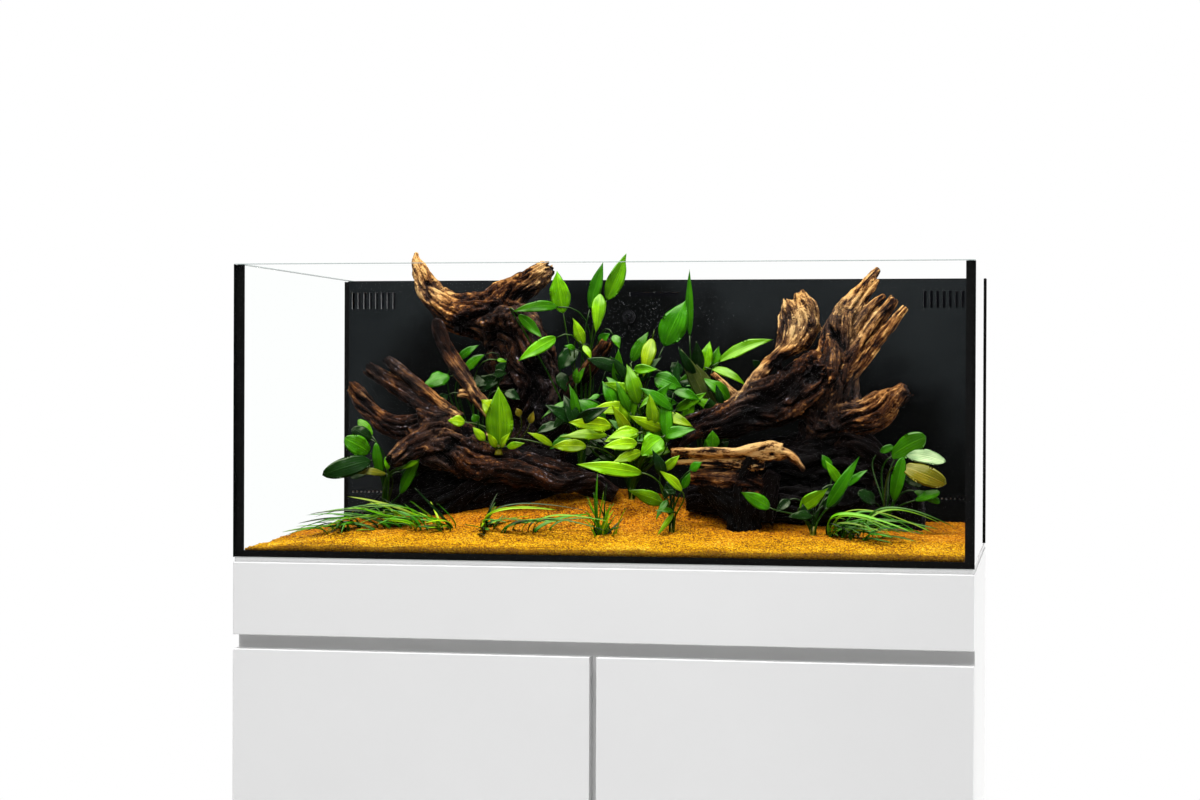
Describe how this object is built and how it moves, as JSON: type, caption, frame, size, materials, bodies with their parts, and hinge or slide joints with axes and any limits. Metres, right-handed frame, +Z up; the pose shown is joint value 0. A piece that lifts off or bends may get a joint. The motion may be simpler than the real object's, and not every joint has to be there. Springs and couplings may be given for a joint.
{
  "type": "aquarium on stand",
  "caption": "Rimless glass tank with a rear filter chamber, sand, driftwood and broad-leaved plants, on a white cabinet with hinged doors and a finger groove.",
  "frame": {"origin": "middle of the footprint, on the floor", "axes": "+X to the right seen from the front, +Y to the back, +Z up"},
  "size_m": [0.9, 0.5, 1.2489],
  "materials": {
    "clear_glass": "clear polished glass",
    "black_glass": "glass lacquered black",
    "black_silicone": "satin",
    "black_acrylic": "gloss, wet",
    "white_fleece": "fibrous",
    "pump_plastic": "fine grain",
    "pipe_plastic": "satin",
    "mat_foam": "closed-cell foam",
    "sand": "loose grains",
    "driftwood": "weathered, wet low down",
    "leaf": "waxy leaf",
    "grass": "waxy blade",
    "white_board": "white foil",
    "front_lacquer": "white satin lacquer",
    "glide_plastic": "moulded",
    "bumper_rubber": "clear rubber",
    "hinge_steel": "nickel plated",
    "pin_steel": "bright"
  },
  "bodies": {
    "root": {"front_pane": "clear_glass", "left_pane": "clear_glass", "right_pane": "clear_glass", "base_pane": "clear_glass", "rear_pane": "black_glass", "corner_seams": "black_silicone", "base_seam": "black_silicone", "partition_beads": "black_silicone", "filter_partition": "black_acrylic", "chamber_baffles": "black_acrylic", "filter_fleece": "white_fleece", "return_pump": "pump_plastic", "return_pipe": "pipe_plastic", "outlet_socket": "pipe_plastic", "levelling_mat": "mat_foam", "sand_bed": "sand", "left_upper_root": "driftwood", "left_forked_log": "driftwood", "right_root": "driftwood", "front_log": "driftwood", "upper_sword": "leaf", "centre_sword": "leaf", "right_sword": "leaf", "left_broad_plant": "leaf", "back_sword": "leaf", "log_sword": "leaf", "front_sword": "leaf", "right_broad_plant": "leaf", "right_low_plant": "leaf", "left_grass": "grass", "mid_grass": "grass", "front_grass": "grass", "right_grass": "grass", "top_panel": "white_board", "left_side": "white_board", "right_side": "white_board", "base_panel": "white_board", "centre_divider": "white_board", "back_panel": "white_board", "grip_rails": "white_board", "apron": "front_lacquer", "floor_glides": "glide_plastic", "door_bumpers": "bumper_rubber", "hinge_plates": "hinge_steel", "hinge_arms": "hinge_steel"},
    "left_door": {"left_door": "front_lacquer", "left_hinge_cups": "hinge_steel", "left_hinge_pins": "pin_steel"},
    "right_door": {"right_door": "front_lacquer", "right_hinge_cups": "hinge_steel", "right_hinge_pins": "pin_steel"},
    "return_nozzle": {"return_nozzle": "pipe_plastic"}
  },
  "joints": [
    {"name": "left_door_hinge", "type": "hinge", "parent": "root", "child": "left_door", "pos_m": [-0.442, -0.2402, 0.38], "axis": [0, 0, -1], "range_deg": [0, 95]},
    {"name": "right_door_hinge", "type": "hinge", "parent": "root", "child": "right_door", "pos_m": [0.442, -0.2402, 0.38], "axis": [0, 0, 1], "range_deg": [0, 95]},
    {"name": "nozzle_swivel", "type": "hinge", "parent": "root", "child": "return_nozzle", "pos_m": [-0.035, 0.1975, 1.163], "axis": [0, 0, 1], "range_deg": [-20, 20]}
  ]
}
